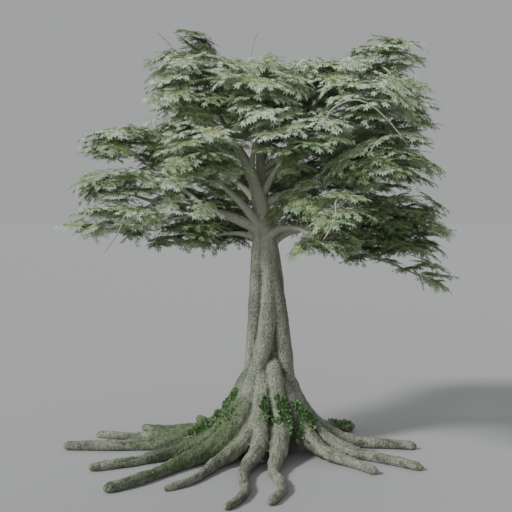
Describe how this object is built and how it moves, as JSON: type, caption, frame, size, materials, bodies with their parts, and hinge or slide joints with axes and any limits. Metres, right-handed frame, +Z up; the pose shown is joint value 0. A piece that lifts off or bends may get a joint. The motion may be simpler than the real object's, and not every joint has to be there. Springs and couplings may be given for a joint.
{
  "type": "kapok tree",
  "caption": "Kapok tree with a pale fluted trunk on long surface roots, forked boughs and a wide crown of layered umbrella-shaped sprays of palmate leaves.",
  "frame": {"origin": "on the trunk's axis at ground level, on the flat cut under the trunk", "axes": "+Z up along the trunk, -Y towards the viewer of the picture, +X to that viewer's right"},
  "size_m": [14.8488, 13.4622, 16.1914],
  "materials": {
    "bark": "matt, speckled",
    "root_bark": "matt, mossy",
    "foliage": "matt"
  },
  "bodies": {
    "root": {"bough_back_left": "bark", "bough_back_low": "bark", "bough_back_right": "bark", "bough_back_top": "bark", "bough_front_top": "bark", "bough_left_arm": "bark", "bough_left_low": "bark", "bough_left_low_arm": "bark", "bough_left_middle": "bark", "bough_left_upper_arm": "bark", "bough_middle_front": "bark", "bough_right_front_top": "bark", "bough_right_low": "bark", "bough_right_low_front": "bark", "bough_right_low_tip": "bark", "bough_right_middle": "bark", "bough_right_upper": "bark", "bough_top_left_plume": "bark", "bough_top_right": "bark", "bough_top_right_plume": "bark", "foliage_back_left": "foliage", "foliage_back_low": "foliage", "foliage_back_right": "foliage", "foliage_back_top": "foliage", "foliage_front_top": "foliage", "foliage_left_arm": "foliage", "foliage_left_low": "foliage", "foliage_left_low_arm": "foliage", "foliage_left_middle": "foliage", "foliage_left_upper_arm": "foliage", "foliage_middle_front": "foliage", "foliage_right_front_top": "foliage", "foliage_right_low": "foliage", "foliage_right_low_front": "foliage", "foliage_right_low_tip": "foliage", "foliage_right_middle": "foliage", "foliage_right_upper": "foliage", "foliage_top_left": "foliage", "foliage_top_left_plume": "foliage", "foliage_top_middle": "foliage", "foliage_top_right": "foliage", "foliage_top_right_plume": "foliage", "leader_left": "bark", "leader_right": "bark", "root_front": "root_bark", "root_front_left": "root_bark", "root_front_left_inner": "root_bark", "root_front_right": "root_bark", "root_left": "root_bark", "root_left_front": "root_bark", "root_left_rear": "root_bark", "root_rear": "root_bark", "root_rear_inner": "root_bark", "root_rear_left": "root_bark", "root_rear_left_inner": "root_bark", "root_rear_right": "root_bark", "root_right": "root_bark", "root_right_front": "root_bark", "root_right_rear": "root_bark", "trunk": "bark"}
  },
  "joints": []
}
